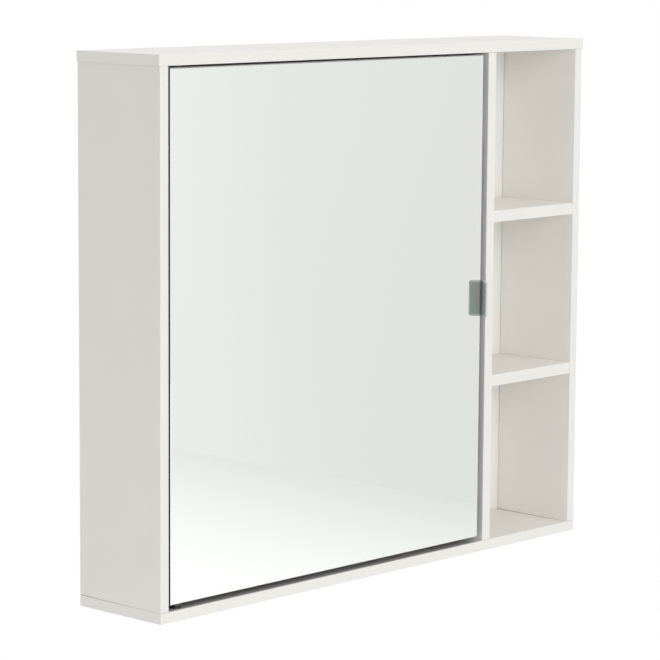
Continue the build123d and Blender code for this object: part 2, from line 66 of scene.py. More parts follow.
# %% [markdown]
# The camera
#
# The photograph was taken from the left with a long lens, a little above the middle of the
# cabinet, so the long edges hardly converge. Three angles say where the camera looks. They
# are applied in turn, the way a photographer would move: tip the camera level and then
# down, swing it to the right, and roll it by a hair. Building the matrix from single
# rotations keeps each of them readable, which one set of Euler angles would not.

# %% Place the camera
CAMERA_PLACE = Vector((-2.4266, -2.3144, 0.1746))
SWING = math.radians(46.873)
TIP = math.radians(7.880)
ROLL = math.radians(0.389)
LENS_MM = 159.52
SENSOR_MM = 36.0
NEAREST = 0.1
FARTHEST = 60.0

camera_data = bpy.data.cameras.new("portrait_camera")
camera_data.lens = LENS_MM
camera_data.sensor_width = SENSOR_MM
camera_data.clip_start = NEAREST
camera_data.clip_end = FARTHEST
camera = bpy.data.objects.new("portrait_camera", camera_data)
bpy.context.scene.collection.objects.link(camera)
level = Matrix.Rotation(math.radians(90) - TIP, 4, "X")
swung = Matrix.Rotation(-SWING, 4, "Z")
rolled = Matrix.Rotation(ROLL, 4, "Z")
camera.matrix_world = Matrix.Translation(CAMERA_PLACE) @ swung @ level @ rolled
bpy.context.scene.camera = camera
bpy.context.scene.view_settings.view_transform = "Standard"
print("camera distance in m:", round((CAMERA_PLACE - (cad_low + cad_high) / 2).length, 2))

# %% [markdown]
# Small tools for materials
#
# A material is a graph of nodes. One function adds any node: it takes the node's kind, its
# inputs, the stops of its colour ramp if it has one, and its settings. An input is a plain
# value, an output of an earlier node, or that node itself, which then stands for its first
# output in use. Another function turns a hex colour, which is written for the screen, into
# the linear values that light is computed with. The kinds of node that come again and
# again get short names.

# %% Helpers for colours and node graphs
COORDINATES = "ShaderNodeTexCoord"
SPLIT = "ShaderNodeSeparateXYZ"
MATH = "ShaderNodeMath"
MIX = "ShaderNodeMix"
MAP = "ShaderNodeMapRange"
RAMP = "ShaderNodeValToRGB"
NOISE = "ShaderNodeTexNoise"
BUMP = "ShaderNodeBump"


def hex_colour(code):
    """A hex colour, such as F0EFEA, as linear red, green, blue and alpha."""
    channels = [int(code[i : i + 2], 16) / 255 for i in (0, 2, 4)]
    linear = [c / 12.92 if c <= 0.04045 else ((c + 0.055) / 1.055) ** 2.4 for c in channels]
    return (*linear, 1.0)


def fill(node, inputs):
    """Fill a node's inputs, by name or number, with plain values or links."""
    for name, value in inputs.items():
        if isinstance(name, int):
            socket = node.inputs[name]
        else:
            socket = next(s for s in node.inputs if s.enabled and s.name == name)
        if isinstance(value, bpy.types.Node):
            value = next(output for output in value.outputs if output.enabled)
        if isinstance(value, bpy.types.NodeSocket):
            node.id_data.links.new(value, socket)
        else:
            socket.default_value = value


def add_node(tree, kind, inputs=None, stops=(), **settings):
    """Add a node with its settings and the stops of its ramp, then fill its inputs."""
    made = tree.nodes.new(kind)
    for name, value in settings.items():
        setattr(made, name, value)
    if stops:
        elements = made.color_ramp.elements
        while len(elements) < len(stops):
            elements.new(0.5)
        for element, (position, colour) in zip(elements, stops):
            element.position = position
            element.color = hex_colour(colour)
    fill(made, inputs or {})
    return made


print("white on screen 240 is linear", round(hex_colour("F0F0F0")[0], 3))

# %% [markdown]
# A new material
#
# Every material starts the same way: an empty graph with one shader, joined to the output.
# A texture's scale says how often it repeats in a metre, while a maker thinks of its grain
# in millimetres, so a small function turns one into the other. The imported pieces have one
# slot each, and dressing a piece puts its material there.

# %% Start a material, scale a pattern, dress a piece
def new_material(name):
    """An empty material, its shader and its node tree."""
    material = bpy.data.materials.new(name)
    material.use_nodes = True
    tree = material.node_tree
    tree.nodes.clear()
    shader = add_node(tree, "ShaderNodeBsdfPrincipled")
    add_node(tree, "ShaderNodeOutputMaterial", {"Surface": shader})
    return material, shader, tree


def per_metre(millimetres):
    """The scale of a texture whose features are this many millimetres across."""
    return 1 / (millimetres * MM)


def dress(material, *names):
    """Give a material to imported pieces, in their own slot."""
    for name in names:
        nodes[name].data.materials.clear()
        nodes[name].data.materials.append(material)


print("a grain of 2 mm repeats", round(per_metre(2)), "times in a metre")

# %% [markdown]
# Which way a face looks
#
# A board of this cabinet is chipboard under a white melamine foil. Where it was sawn or
# drilled, the chipboard shows. The boards lie square to X, Y and Z, so the direction that
# a face looks in tells the foil from the cut edge, and no part of the mesh has to be
# picked out by hand. The two looks may also have a relief of their own, and the second
# function takes the right one by the same mask.

# %% Masks and reliefs by the way a face looks
FACE_COSINE = 0.5


def facing(tree, place, axis, way=0.0):
    """1 where a face looks along an axis, else 0: way 1 is up it, -1 down it, 0 both."""
    along = add_node(tree, SPLIT, {0: place.outputs["Normal"]}).outputs[axis]
    if way:
        turned = add_node(tree, MATH, {0: along, 1: way}, operation="MULTIPLY")
    else:
        turned = add_node(tree, MATH, {0: along}, operation="ABSOLUTE")
    return add_node(tree, MATH, {0: turned, 1: FACE_COSINE}, operation="GREATER_THAN")


def chosen_relief(tree, mask, when_0, when_1):
    """The relief of one of two looks by a mask, each a height and its depth in mm."""
    scaled = [
        add_node(tree, MATH, {0: height, 1: depth_mm}, operation="MULTIPLY")
        for height, depth_mm in (when_0, when_1)
    ]
    height = add_node(tree, MIX, {"Factor": mask, "A": scaled[0], "B": scaled[1]})
    return add_node(tree, BUMP, {"Height": height, "Distance": MM})


widest = math.degrees(math.acos(FACE_COSINE))
print("a face counts as turned to an axis within", round(widest), "degrees")

# %% [markdown]
# Foil
#
# The foil is paper soaked in melamine resin and pressed on hot. It is a hard, smooth,
# slightly warm white. The press leaves faint clouds a few centimetres wide, and the steel
# plate behind it leaves a fine skin that breaks up reflections. A noise texture does both,
# once as a colour and once as a height.

# %% The look of foil
CLOUD_MM = 60.0
SKIN_MM = 0.9


def foil_look(tree, place, pale, dark):
    """White foil: its colour with faint clouds, and its fine embossed skin as a height."""
    where = place.outputs["Object"]
    clouds = add_node(tree, NOISE, {"Vector": where, "Scale": per_metre(CLOUD_MM), "Detail": 3.0})
    colour = add_node(tree, RAMP, {0: clouds}, stops=((0.3, dark), (0.7, pale)))
    skin = add_node(tree, NOISE, {"Vector": where, "Scale": per_metre(SKIN_MM), "Detail": 2.0})
    return colour, skin


print("foil skin repeats", round(per_metre(SKIN_MM)), "times in a metre")

# %% [markdown]
# Raw chipboard
#
# Raw chipboard is pressed flakes of different woods, about twice as long as they are wide,
# with dark resin between them. A Voronoi texture splits space into such cells and gives
# each a random value, which picks the wood. A noise darkens the places rich in resin.

# %% The look of raw chipboard
FLAKE_MM = 2.2
FLAKE_STRETCH = (0.45, 1.0, 1.0)
WOODS = ((0.0, "7C5C3A"), (0.3, "A98557"), (0.6, "C4A377"), (1.0, "DCC39B"))
RESIN_MM = 3.5
RESIN_SHADE = {"From Min": 0.35, "From Max": 0.6, "To Min": 0.55, "To Max": 1.0}
CHIP_ROUGHNESS = 0.85
CHIP_RELIEF_MM = 0.12


def chipboard_look(tree, place):
    """Raw chipboard: its colour, and its flakes as a height."""
    where = place.outputs["Object"]
    stretched = add_node(tree, "ShaderNodeMapping", {"Vector": where, "Scale": FLAKE_STRETCH})
    flakes = add_node(
        tree,
        "ShaderNodeTexVoronoi",
        {"Vector": stretched, "Scale": per_metre(FLAKE_MM), "Randomness": 1.0},
    )
    shade = add_node(tree, "ShaderNodeSeparateColor", {0: flakes.outputs["Color"]})
    wood = add_node(tree, RAMP, {0: shade}, stops=WOODS)
    resin = add_node(tree, NOISE, {"Vector": where, "Scale": per_metre(RESIN_MM), "Detail": 5.0})
    light = add_node(tree, MAP, {"Value": resin, **RESIN_SHADE})
    colour = add_node(tree, "ShaderNodeVectorMath", {0: wood, "Scale": light}, operation="SCALE")
    return colour, flakes.outputs["Distance"]


print("woods in the chipboard:", len(WOODS))

# %% [markdown]
# White melamine foil on chipboard
#
# Only the two large faces of a board carry the foil. The sawn edges that no band covers,
# such as those at the wall, and the walls of the drilled holes show the raw chipboard. One
# function makes the material for boards that lie square to X, Y or Z.
#
# The uprights stand on the bottom board, and their lower joint shows as a fine grey line
# that opens by a hair towards the wall. This line is painted shadow: a thin wedge of shadow
# grey just above the joint, drawn because so fine a gap would be lost between the pixels.

# %% Foil-faced boards
FOIL_PALE = "F7F4EF"
FOIL_DARK = "F5F2ED"
FOIL_ROUGHNESS = 0.38
FOIL_RELIEF_MM = 0.006
RESIN_IOR = 1.5
# Shadow grey for the painted shadow in the lower joint of the uprights.
JOINT_SHADOW_GREY = "8F8D88"
JOINT_FRONT_MM = 0.05
JOINT_WALL_MM = 0.75
foot_z = min(vertex.co.z for vertex in nodes["left_side_panel"].data.vertices)
front_to_wall = {"From Min": cad_low.y, "From Max": 0.0}
joint_widths = {"To Min": JOINT_FRONT_MM * MM, "To Max": JOINT_WALL_MM * MM}


def joint_shadow_line(tree, place):
    """1 in the painted shadow line above the lower joint, wider towards the wall, else 0."""
    xyz = add_node(tree, SPLIT, {0: place.outputs["Object"]})
    width = add_node(tree, MAP, {"Value": xyz.outputs["Y"], **front_to_wall, **joint_widths})
    height = add_node(tree, MATH, {0: xyz.outputs["Z"], 1: foot_z}, operation="SUBTRACT")
    return add_node(tree, MATH, {0: height, 1: width}, operation="LESS_THAN")


def foil_board(name, axis):
    """Melamine foil on the faces along an axis, and raw chipboard on the others."""
    material, shader, tree = new_material(name)
    place = add_node(tree, COORDINATES)
    on_face = facing(tree, place, axis)
    foil, skin = foil_look(tree, place, FOIL_PALE, FOIL_DARK)
    if axis == "X":
        # Paint the shadow of the lower joint into the foil as a grey wedge.
        line = joint_shadow_line(tree, place)
        grey = hex_colour(JOINT_SHADOW_GREY)
        foil = add_node(tree, MIX, {"Factor": line, "A": foil, "B": grey}, data_type="RGBA")
    chips, flakes = chipboard_look(tree, place)
    colour = add_node(tree, MIX, {"Factor": on_face, "A": chips, "B": foil}, data_type="RGBA")
    shine = add_node(tree, MIX, {"Factor": on_face, "A": CHIP_ROUGHNESS, "B": FOIL_ROUGHNESS})
    relief = chosen_relief(tree, on_face, (flakes, CHIP_RELIEF_MM), (skin, FOIL_RELIEF_MM))
    fill(shader, {"Base Color": colour, "Roughness": shine, "Normal": relief, "IOR": RESIN_IOR})
    return material


foil_x = foil_board("melamine_foil_board_upright", "X")
foil_y = foil_board("melamine_foil_board_door", "Y")
foil_z = foil_board("melamine_foil_board_level", "Z")
dress(foil_x, "left_side_panel", "right_side_panel", "divider_panel")
dress(foil_z, "top_panel", "bottom_panel", "upper_open_shelf", "lower_open_shelf")
dress(foil_z, "upper_inner_shelf", "lower_inner_shelf")
dress(foil_y, "door_board")
print("foil boards:", foil_x.name, foil_y.name, foil_z.name)

# %% [markdown]
# Edge bands
#
# The visible edges of the boards wear a thin plastic band, glued on and trimmed. It is a
# touch smoother than the foil, and its rounded arrises catch the light as fine lines.
# Where two bands meet, at the head and foot of the uprights, a line of a fraction of a
# millimetre is drawn darker there: painted shade in the joint.

# %% White edge bands
BAND_PALE = "F6F5F0"
BAND_DARK = "F4F3EE"
BAND_ROUGHNESS = 0.33
BAND_RELIEF_MM = 0.004
# A darker grey for the band joints: painted shade.
JOINT_SHADE = "A9A7A1"
FOOT_SHADE_MM = 0.4
HEAD_SHADE_MM = 0.25
head_z = max(vertex.co.z for vertex in nodes["left_side_panel"].data.vertices)

white_band, band_shader, band_tree = new_material("abs_edge_band")
band_place = add_node(band_tree, COORDINATES)
unshaded_band, band_skin = foil_look(band_tree, band_place, BAND_PALE, BAND_DARK)
band_z = add_node(band_tree, SPLIT, {0: band_place.outputs["Object"]}).outputs["Z"]
above_foot = add_node(band_tree, MATH, {0: band_z, 1: foot_z}, operation="SUBTRACT")
below_head = add_node(band_tree, MATH, {0: head_z, 1: band_z}, operation="SUBTRACT")
joints = []
for height, width_mm in ((above_foot, FOOT_SHADE_MM), (below_head, HEAD_SHADE_MM)):
    past = add_node(band_tree, MATH, {0: height, 1: 0.0}, operation="GREATER_THAN")
    near = add_node(band_tree, MATH, {0: height, 1: width_mm * MM}, operation="LESS_THAN")
    joints.append(add_node(band_tree, MATH, {0: past, 1: near}, operation="MULTIPLY"))
# Both joint lines, at foot and head, are painted with the shade grey.
shaded_joints = add_node(band_tree, MATH, {0: joints[0], 1: joints[1]}, operation="MAXIMUM")
joint_shade_mix = {"Factor": shaded_joints, "A": unshaded_band, "B": hex_colour(JOINT_SHADE)}
band_looks = {
    "Base Color": add_node(band_tree, MIX, joint_shade_mix, data_type="RGBA"),
    "Roughness": BAND_ROUGHNESS,
    "IOR": RESIN_IOR,
    "Normal": add_node(band_tree, BUMP, {"Height": band_skin, "Distance": BAND_RELIEF_MM * MM}),
}
fill(band_shader, band_looks)
dress(white_band, "board_edge_bands", "board_end_bands", "open_shelf_bands")
dress(white_band, "inner_shelf_bands")
print("edge bands:", white_band.name)

# %% [markdown]
# The door's own band
#
# All round the mirror the photograph shows a gap that is darker than the light alone makes
# it, so the door's edges are coloured a dark anthracite: painted shade for that gap. Its faint
# grain comes from the roller that embossed it. Many matt materials need the same three
# things, a colour that varies a little, a roughness and a fine relief, so the band's recipe
# is a function for all of them.

# %% Anthracite edge band
def grained(name, pale, dark, roughness, grain_mm, relief_mm, ior, detail=4.0):
    """A matt material whose grain varies its colour a little and gives it a relief."""
    material, shader, tree = new_material(name)
    where = add_node(tree, COORDINATES).outputs["Object"]
    scale = per_metre(grain_mm)
    grain = add_node(tree, NOISE, {"Vector": where, "Scale": scale, "Detail": detail})
    colour = add_node(tree, RAMP, {0: grain}, stops=((0.35, dark), (0.65, pale)))
    relief = add_node(tree, BUMP, {"Height": grain, "Distance": relief_mm * MM})
    fill(shader, {"Base Color": colour, "Roughness": roughness, "IOR": ior, "Normal": relief})
    return material


# The dark colour is painted shade for the gap round the mirror.
gap_shade_band = grained(
    "dark_edge_band_painted_gap_shade",
    pale="3A3A3C",
    dark="303032",
    roughness=0.42,
    grain_mm=0.8,
    relief_mm=0.008,
    ior=RESIN_IOR,
    detail=3.0,
)
dress(gap_shade_band, "door_edge_bands")
print("door band:", gap_shade_band.name)

# %% [markdown]
# The back panel
#
# The back panel is thin hardboard: lacquered white towards the room, bare brown fibre
# towards the wall. The mask that tells foil from chipboard works here too, but it counts
# only the faces that look towards the wall.

# %% Lacquered hardboard
LACQUER_PALE = "F8F8F4"
LACQUER_DARK = "F6F6F2"
LACQUER_ROUGHNESS = 0.4
LACQUER_RELIEF_MM = 0.008
FIBRES = ((0.3, "5E4126"), (0.5, "7D5A38"), (0.72, "9A7650"))
FIBRE_MM = 1.6
FIBRE_ROUGHNESS = 0.8
FIBRE_RELIEF_MM = 0.05

hardboard, hard_shader, hard_tree = new_material("lacquered_hardboard")
hard_place = add_node(hard_tree, COORDINATES)
to_wall = facing(hard_tree, hard_place, "Y", 1.0)
lacquer, lacquer_skin = foil_look(hard_tree, hard_place, LACQUER_PALE, LACQUER_DARK)
fibre_noise = {
    "Vector": hard_place.outputs["Object"],
    "Scale": per_metre(FIBRE_MM),
    "Detail": 6.0,
    "Roughness": 0.7,
}
fibres = add_node(hard_tree, NOISE, fibre_noise)
bare = add_node(hard_tree, RAMP, {0: fibres}, stops=FIBRES)
hard_mix = {"Factor": to_wall, "A": lacquer, "B": bare}
shine_mix = {"Factor": to_wall, "A": LACQUER_ROUGHNESS, "B": FIBRE_ROUGHNESS}
hard_looks = {
    "Base Color": add_node(hard_tree, MIX, hard_mix, data_type="RGBA"),
    "Roughness": add_node(hard_tree, MIX, shine_mix),
    "Normal": chosen_relief(
        hard_tree, to_wall, (lacquer_skin, LACQUER_RELIEF_MM), (fibres, FIBRE_RELIEF_MM)
    ),
    "IOR": RESIN_IOR,
}
fill(hard_shader, hard_looks)
dress(hardboard, "back_panel")
print("back:", hardboard.name)

# %% [markdown]
# The hanging rail
#
# The rail behind the back panel takes the wall screws. It is a strip of raw chipboard,
# because nobody sees it once the cabinet hangs, so it needs no mask: the look of the
# boards' cut edges covers all of it.

# %% Raw chipboard
chipboard, chip_shader, chip_tree = new_material("raw_chipboard")
chip_colour, chip_height = chipboard_look(chip_tree, add_node(chip_tree, COORDINATES))
chip_looks = {
    "Base Color": chip_colour,
    "Roughness": CHIP_ROUGHNESS,
    "Normal": add_node(chip_tree, BUMP, {"Height": chip_height, "Distance": CHIP_RELIEF_MM * MM}),
    "IOR": RESIN_IOR,
}
fill(chip_shader, chip_looks)
dress(chipboard, "hanging_rail")
print("rail:", chipboard.name)

# %% [markdown]
# The mirror
#
# The mirror is 3 mm float glass with a layer of silver behind it. Seen from the front, the
# glass and the silver act as one almost perfect reflector with a trace of green, so the
# front and its narrow polished bevel are a metallic surface with next to no roughness. The
# ground edges of the pane show the dark green of the glass itself, and the back has grey
# protective paint. The way a face looks tells the three apart.

# %% Silvered glass
SILVER = "F0F4F1"
GROUND_EDGE = "1E2B26"
BACK_PAINT = "8C8F8E"
POLISHED_ROUGHNESS = 0.01
GROUND_ROUGHNESS = 0.35

mirror, mirror_shader, mirror_tree = new_material("silvered_float_glass")
mirror_place = add_node(mirror_tree, COORDINATES)
silvered = facing(mirror_tree, mirror_place, "Y", -1.0)
painted = facing(mirror_tree, mirror_place, "Y", 1.0)
rest_mix = {"Factor": painted, "A": hex_colour(GROUND_EDGE), "B": hex_colour(BACK_PAINT)}
rest = add_node(mirror_tree, MIX, rest_mix, data_type="RGBA")
mirror_mix = {"Factor": silvered, "A": rest, "B": hex_colour(SILVER)}
polish_mix = {"Factor": silvered, "A": GROUND_ROUGHNESS, "B": POLISHED_ROUGHNESS}
mirror_looks = {
    "Base Color": add_node(mirror_tree, MIX, mirror_mix, data_type="RGBA"),
    "Metallic": silvered,
    "Roughness": add_node(mirror_tree, MIX, polish_mix),
}
fill(mirror_shader, mirror_looks)
dress(mirror, "mirror_glass")
print("mirror:", mirror.name)

# %% [markdown]
# Metals
#
# Screws, nails and strike plates are zinc-plated steel, and the shelf pins are
# nickel-plated. The pivot pins are burnished black, because bright ones would show in the
# gap round the door. Each metal keeps the default IOR, and a faint noise in its roughness
# breaks up the shine as plating does.

# %% Zinc, nickel and burnished steel
PLATING_SPREAD = 0.06


def plated(name, colour, roughness, grain_mm, relief_mm):
    """A metal whose fine grain varies its roughness and its relief."""
    material, shader, tree = new_material(name)
    where = add_node(tree, COORDINATES).outputs["Object"]
    grain = add_node(tree, NOISE, {"Vector": where, "Scale": per_metre(grain_mm), "Detail": 3.0})
    limits = {"To Min": roughness - PLATING_SPREAD, "To Max": roughness + PLATING_SPREAD}
    looks = {
        "Base Color": hex_colour(colour),
        "Metallic": 1.0,
        "Roughness": add_node(tree, MAP, {"Value": grain, **limits}),
        "Normal": add_node(tree, BUMP, {"Height": grain, "Distance": relief_mm * MM}),
    }
    fill(shader, looks)
    return material


zinc_steel = plated(
    "zinc_plated_steel", "BDC1C4", roughness=0.34, grain_mm=0.5, relief_mm=0.004
)
nickel_steel = plated(
    "nickel_plated_steel", "CBC5BA", roughness=0.2, grain_mm=0.8, relief_mm=0.002
)
burnished = plated(
    "burnished_black_steel", "4A4A4C", roughness=0.4, grain_mm=0.5, relief_mm=0.004
)
dress(zinc_steel, "back_nails", "handle_screws", "catch_screws", "strike_screws")
dress(zinc_steel, "strike_plates")
dress(nickel_steel, "shelf_pins")
dress(burnished, "lower_pivot_pin", "upper_pivot_pin")
print("metals:", zinc_steel.name, nickel_steel.name, burnished.name)

# %% [markdown]
# Plastics, ferrite, foam and beech
#
# The pivot bushes are grey nylon, because a pale one would show in the gap under the door.
# The catch housings are moulded white plastic with a finely eroded skin. The magnets are
# sintered ferrite, nearly black, the tape between the glass and the door is white foam,
# and the dowels are turned beech.

# %% Nylon, moulded plastic, ferrite, foam and beech
nylon = grained(
    "grey_nylon", "6C6C6C", "626262", roughness=0.45, grain_mm=2.0, relief_mm=0.01, ior=1.53
)
moulded = grained(
    "moulded_white_plastic",
    "EEEEEB",
    "E9E9E6",
    roughness=0.48,
    grain_mm=0.4,
    relief_mm=0.015,
    ior=1.5,
)
ferrite = grained(
    "sintered_ferrite", "3A3A3D", "242427", roughness=0.6, grain_mm=0.7, relief_mm=0.02, ior=1.9
)
foam = grained(
    "foam_tape", "E8E7E1", "CFCEC8", roughness=0.9, grain_mm=0.6, relief_mm=0.08, ior=1.45
)
beech = grained(
    "turned_beech", "D8B88B", "C29B69", roughness=0.6, grain_mm=1.2, relief_mm=0.03, ior=1.5
)
dress(nylon, "panel_bushes", "door_bushes")
dress(moulded, "catch_housings")
dress(ferrite, "catch_magnets")
dress(foam, "mirror_tape")
dress(beech, "board_dowels", "shelf_dowels")
print("matt materials:", nylon.name, moulded.name, ferrite.name, foam.name, beech.name)

# %% [markdown]
# The finger tab
#
# The tab is a bent strip of aluminium under a silver-grey powder coat. Round its rim the
# coat is painted paler: a painted highlight where the edges catch the light. So the material
# has to know how far a point lies from the rim. That is worked out from the size of the
# tab itself, in three directions: up, down and towards the tip.

# %% The distance from the tab's rim
RIM_FULL_MM = 1.4
RIM_END_MM = 2.8
tab_points = [vertex.co for vertex in nodes["door_handle"].data.vertices]
tab_low = Vector(map(min, zip(*tab_points)))
tab_high = Vector(map(max, zip(*tab_points)))

coat, coat_shader, coat_tree = new_material("silver_grey_powder_coat")
coat_where = add_node(coat_tree, COORDINATES).outputs["Object"]
coat_xyz = add_node(coat_tree, SPLIT, {0: coat_where})
coat_z = coat_xyz.outputs["Z"]
from_top = add_node(coat_tree, MATH, {0: tab_high.z, 1: coat_z}, operation="SUBTRACT")
from_foot = add_node(coat_tree, MATH, {0: coat_z, 1: tab_low.z}, operation="SUBTRACT")
from_tip = add_node(
    coat_tree, MATH, {0: coat_xyz.outputs["Y"], 1: tab_low.y}, operation="SUBTRACT"
)
from_ends = add_node(coat_tree, MATH, {0: from_top, 1: from_foot}, operation="MINIMUM")
from_rim = add_node(coat_tree, MATH, {0: from_tip, 1: from_ends}, operation="MINIMUM")
highlight_limits = {"From Min": RIM_FULL_MM * MM, "From Max": RIM_END_MM * MM}
# 1 at the rim, fading to 0 inwards: where the painted highlight lies.
rim_highlight = add_node(coat_tree, MAP, {"Value": from_rim, **highlight_limits, "To Min": 1.0, "To Max": 0.0})
print("tab in mm:", [round(v / MM, 1) for v in tab_high - tab_low])

# %% [markdown]
# The powder coat
#
# The coat is mostly paint with a few metal flakes in it, so it stays an even mid grey from
# every side, where bare metal would turn dark beside the mirror. Powder sets in the oven
# with a fine orange peel, which a noise gives as a trace of colour and a shallow relief.

# %% Silver-grey powder coat
COAT_GREYS = ((0.35, "A4AAA8"), (0.65, "AAB0AE"))
# A paler grey round the rim: a painted highlight of the tab's edges.
COAT_RIM_HIGHLIGHT = "CDD1CE"
PEEL_MM = 0.7
PEEL_RELIEF_MM = 0.006
COAT_METALLIC = 0.1
COAT_ROUGHNESS = 0.42

peel_noise = {"Vector": coat_where, "Scale": per_metre(PEEL_MM), "Detail": 3.0}
peel = add_node(coat_tree, NOISE, peel_noise)
coat_grey = add_node(coat_tree, RAMP, {0: peel}, stops=COAT_GREYS)
coat_mix = {"Factor": rim_highlight, "A": coat_grey, "B": hex_colour(COAT_RIM_HIGHLIGHT)}
coat_looks = {
    "Base Color": add_node(coat_tree, MIX, coat_mix, data_type="RGBA"),
    "Metallic": COAT_METALLIC,
    "Roughness": COAT_ROUGHNESS,
    "IOR": RESIN_IOR,
    "Normal": add_node(coat_tree, BUMP, {"Height": peel, "Distance": PEEL_RELIEF_MM * MM}),
}
fill(coat_shader, coat_looks)
dress(coat, "door_handle")
print("tab:", coat.name)

# %% [markdown]
# The floor
#
# The cabinet hangs at the height of a bathroom mirror, so the floor lies well below it: a
# wide sheet of pale studio paper. Its right edge matters, because the mirror looks down on
# it. The edge runs straight away from the wall, and so it crosses the lower part of the
# mirror as a faint slanting line, below which the paper grows brighter.

# %% The sheet of paper
HANGING_HEIGHT = 1.2
PAPER_LEFT = -7.0
PAPER_RIGHT = 5.0
PAPER_FRONT = -16.0
PAPER_REAR = 5.0
floor_z = cad_low.z - HANGING_HEIGHT
paper_corners = [
    (PAPER_LEFT, PAPER_FRONT, floor_z),
    (PAPER_RIGHT, PAPER_FRONT, floor_z),
    (PAPER_RIGHT, PAPER_REAR, floor_z),
    (PAPER_LEFT, PAPER_REAR, floor_z),
]
floor_mesh = bpy.data.meshes.new("studio_floor")
floor_mesh.from_pydata(paper_corners, [], [(0, 1, 2, 3)])
floor = bpy.data.objects.new("studio_floor", floor_mesh)
bpy.context.scene.collection.objects.link(floor)
print("floor at z =", round(floor_z, 3))

# %% [markdown]
# The glow of the paper
#
# To the camera the paper glows a little, so that it fades into the white surroundings. In
# the mirror its glow follows its place on the floor: it grows from the right edge inwards
# and fades a little towards the wall, and far out in front it has a lower limit. Both glows
# are added to the light that the paper really receives, so it still takes the cabinet's
# shadow.

# %% Paper that glows for some rays
GLOW_FROM_EDGE = {"From Min": PAPER_RIGHT, "From Max": 3.68, "To Min": 0.0, "To Max": 0.28}
GLOW_TO_WALL = {"From Min": -5.65, "From Max": -4.28, "To Min": 0.29, "To Max": 0.237}
GLOW_LIMIT = {"From Min": PAPER_FRONT, "From Max": -6.5, "To Min": 0.22, "To Max": 0.52}
GLOW_FOR_CAMERA = 0.4
PAPER_WHITE = "F4F4F2"
PAPER_ROUGHNESS = 0.9

paper, paper_shader, paper_tree = new_material("studio_paper")
paper_where = add_node(paper_tree, COORDINATES).outputs["Object"]
paper_xyz = add_node(paper_tree, SPLIT, {0: paper_where})
paper_x = paper_xyz.outputs["X"]
paper_y = paper_xyz.outputs["Y"]
from_edge = add_node(paper_tree, MAP, {"Value": paper_x, **GLOW_FROM_EDGE})
to_the_wall = add_node(paper_tree, MAP, {"Value": paper_y, **GLOW_TO_WALL})
both = add_node(paper_tree, MATH, {0: from_edge, 1: to_the_wall}, operation="ADD")
limit = add_node(paper_tree, MAP, {"Value": paper_y, **GLOW_LIMIT})
mirrored_glow = add_node(paper_tree, MATH, {0: both, 1: limit}, operation="MINIMUM")
paper_rays = add_node(paper_tree, "ShaderNodeLightPath").outputs
shiny_rays = {0: paper_rays["Is Glossy Ray"], 1: paper_rays["Is Transmission Ray"]}
in_mirror = add_node(paper_tree, MATH, shiny_rays, operation="MAXIMUM")
other_glow = add_node(paper_tree, MIX, {"Factor": in_mirror, "A": 0.0, "B": mirrored_glow})
glow_mix = {"Factor": paper_rays["Is Camera Ray"], "A": other_glow, "B": GLOW_FOR_CAMERA}
paper_looks = {
    "Base Color": hex_colour(PAPER_WHITE),
    "Roughness": PAPER_ROUGHNESS,
    "Emission Color": hex_colour("FFFFFF"),
    "Emission Strength": add_node(paper_tree, MIX, glow_mix),
}
fill(paper_shader, paper_looks)
floor_mesh.materials.append(paper)
print("floor:", paper.name)

# %% [markdown]
# Where the dowels and screws lie
#
# The boards are joined with beech dowels, and small screws hold the fittings. The packed
# model has the right places and sizes, but smooth rods. Their places are read from it, so
# that the flutes and threads stay right if the cabinet changes. The first step finds the
# loose parts of a piece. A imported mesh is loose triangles, so points that coincide are
# merged, and then each part is walked from point to point along its edges.

# %% Find the loose parts of a piece
WELD_MM = 0.005


def loose_parts(node):
    """The points of each separate shell of a node, in the order of the lowest corners."""
    shape = bmesh.new()
    shape.from_mesh(node.data)
    bmesh.ops.remove_doubles(shape, verts=shape.verts, dist=WELD_MM * MM)
    shape.verts.index_update()
    waiting = set(shape.verts)
    parts = []
    while waiting:
        front = [waiting.pop()]
        points = []
        while front:
            vertex = front.pop()
            points.append(vertex.co.copy())
            others = {edge.other_vert(vertex) for edge in vertex.link_edges} & waiting
            waiting -= others
            front.extend(others)
        parts.append(points)
    shape.free()
    return sorted(parts, key=lambda points: tuple(map(min, zip(*points))))


print("dowels between the boards:", len(loose_parts(nodes["board_dowels"])))

# %% [markdown]
# How a rod lies
#
# The box round a rod gives its middle, and the box's longest side gives its axis and its
# length. A screw has a head, so the end whose points reach further from the axis is the
# wide one, and the rod points from there to its narrow end.

# %% Read how a rod lies
END_MM = 0.2


def rod_lie(points):
    """The middle of a rod, the unit vector from its wide end to its narrow end, its length."""
    low = Vector(map(min, zip(*points)))
    high = Vector(map(max, zip(*points)))
    size = high - low
    axis = max(range(3), key=lambda i: size[i])
    middle = (low + high) / 2
    reach = {}
    for end, side in ((low, -1), (high, 1)):
        near = [p for p in points if abs(p[axis] - end[axis]) < END_MM * MM]
        reach[side] = max(
            Vector([v for i, v in enumerate(p - middle) if i != axis]).length for p in near
        )
    way = Vector((0.0, 0.0, 0.0))
    way[axis] = -1.0 if reach[-1] < reach[1] else 1.0
    return middle, way, size[axis]


dowel_lies = {
    name: [rod_lie(points) for points in loose_parts(nodes[name])]
    for name in ("board_dowels", "shelf_dowels")
}
dowel_length = dowel_lies["board_dowels"][0][2]
print("dowels:", {name: len(lies) for name, lies in dowel_lies.items()})
print("length in mm:", round(dowel_length / MM, 2))

# %% [markdown]
# Geometry Nodes for things that repeat
#
# Thirty equal dowels are a job for Geometry Nodes: one is made once and set on a point for
# each place. Each tree here takes the points and its sizes as named inputs, so they can be
# tried out in the modifier panel. It turns each copy along the direction stored with its
# point, and makes the copies real, because plain meshes are what travels on from here.

